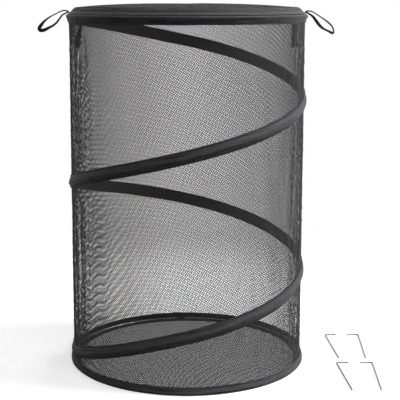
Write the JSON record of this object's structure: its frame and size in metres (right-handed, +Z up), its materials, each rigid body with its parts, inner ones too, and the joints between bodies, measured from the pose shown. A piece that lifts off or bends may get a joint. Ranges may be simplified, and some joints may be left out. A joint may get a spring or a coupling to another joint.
{
  "type": "pop-up garden net",
  "caption": "Pop-up tube of netting on wire hoops and a wire spiral, with a zipped net lid, carrying loops, tie straps and wire ground pegs.",
  "frame": {"origin": "on the net's axis at ground level, at the middle of the floor net's underside", "axes": "+Z up along the tube's axis, -Y towards the front as pictured, +X towards the right carrying loop and the pegs"},
  "size_m": [0.6449, 0.46, 0.6954],
  "materials": {
    "binding_tape": "woven polyester binding tape, black",
    "netting": "diamond mesh netting, black",
    "webbing": "ribbed webbing, black",
    "nylon": "moulded nylon, black",
    "spring_steel": "drawn spring wire",
    "zinc": "die-cast zinc, plated",
    "galvanised_wire": "galvanised wire, satin grey"
  },
  "bodies": {
    "base": {"base_binding": "binding_tape", "base_net": "netting", "bottom_hoop_wire": "spring_steel", "bottom_hoop_ferrule": "zinc", "wall_net": "netting", "spiral_sleeve": "binding_tape", "spiral_backing": "binding_tape", "spiral_wire": "spring_steel", "spiral_cap_bottom": "nylon"},
    "top": {"top_binding": "binding_tape", "top_hoop_wire": "spring_steel", "top_hoop_ferrule": "zinc", "zip_outer_tape": "binding_tape", "zip_outer_coil": "nylon", "zip_stop_start": "nylon", "zip_stop_end": "nylon", "lid_hinge_tape": "binding_tape", "spiral_cap_top": "nylon"},
    "lid": {"zip_inner_tape": "binding_tape", "zip_inner_coil": "nylon", "lid_binding": "binding_tape", "lid_net": "netting"},
    "slider": {"zip_slider": "zinc"},
    "pull": {"zip_pull": "zinc"},
    "loop_left": {"carry_loop_left": "webbing"},
    "loop_right": {"carry_loop_right": "webbing"},
    "strap_left": {"tie_strap_left": "webbing"},
    "strap_right": {"tie_strap_right": "webbing"},
    "peg_1": {"ground_peg_1": "galvanised_wire"},
    "peg_2": {"ground_peg_2": "galvanised_wire"},
    "peg_3": {"ground_peg_3": "galvanised_wire"},
    "peg_4": {"ground_peg_4": "galvanised_wire"}
  },
  "joints": [
    {"name": "collapse", "type": "slide", "parent": "base", "child": "top", "axis": [0, 0, 1], "range_m": [-0.6, 0], "stiffness_N_per_m": 12, "springref_m": 0.45, "deforming": ["wall_net", "spiral_sleeve", "spiral_backing", "spiral_wire"]},
    {"name": "lid_hinge", "type": "hinge", "parent": "top", "child": "lid", "pos_m": [0, 0.212, 0.6855], "axis": [-1, 0, 0], "range_deg": [0, 120]},
    {"name": "zip_travel", "type": "hinge", "parent": "top", "child": "slider", "pos_m": [0, 0, 0.675], "axis": [0, 0, 1], "range_deg": [-321, 0]},
    {"name": "pull_flip", "type": "hinge", "parent": "slider", "child": "pull", "pos_m": [0.07396, 0.20886, 0.68423], "axis": [0.263, 0.7428, -0.6157], "range_deg": [0, 175]},
    {"name": "loop_left_swing", "type": "hinge", "parent": "top", "child": "loop_left", "pos_m": [-0.2275, 0, 0.6795], "axis": [0, 1, 0], "range_deg": [0, 110]},
    {"name": "loop_right_swing", "type": "hinge", "parent": "top", "child": "loop_right", "pos_m": [0.2275, 0, 0.6795], "axis": [0, -1, 0], "range_deg": [0, 110]},
    {"name": "strap_left_swing", "type": "hinge", "parent": "top", "child": "strap_left", "pos_m": [-0.21, 0, 0.672], "axis": [1, 0, 0], "range_deg": [-70, 70]},
    {"name": "strap_right_swing", "type": "hinge", "parent": "top", "child": "strap_right", "pos_m": [0.21, 0, 0.672], "axis": [1, 0, 0], "range_deg": [-70, 70]},
    {"name": "peg_1_lift", "type": "slide", "parent": "base", "child": "peg_1", "axis": [0, 0, 1], "range_m": [0, 0.2]},
    {"name": "peg_2_lift", "type": "slide", "parent": "base", "child": "peg_2", "axis": [0, 0, 1], "range_m": [0, 0.2]},
    {"name": "peg_3_lift", "type": "slide", "parent": "base", "child": "peg_3", "axis": [0, 0, 1], "range_m": [0, 0.2]},
    {"name": "peg_4_lift", "type": "slide", "parent": "base", "child": "peg_4", "axis": [0, 0, 1], "range_m": [0, 0.2]}
  ]
}
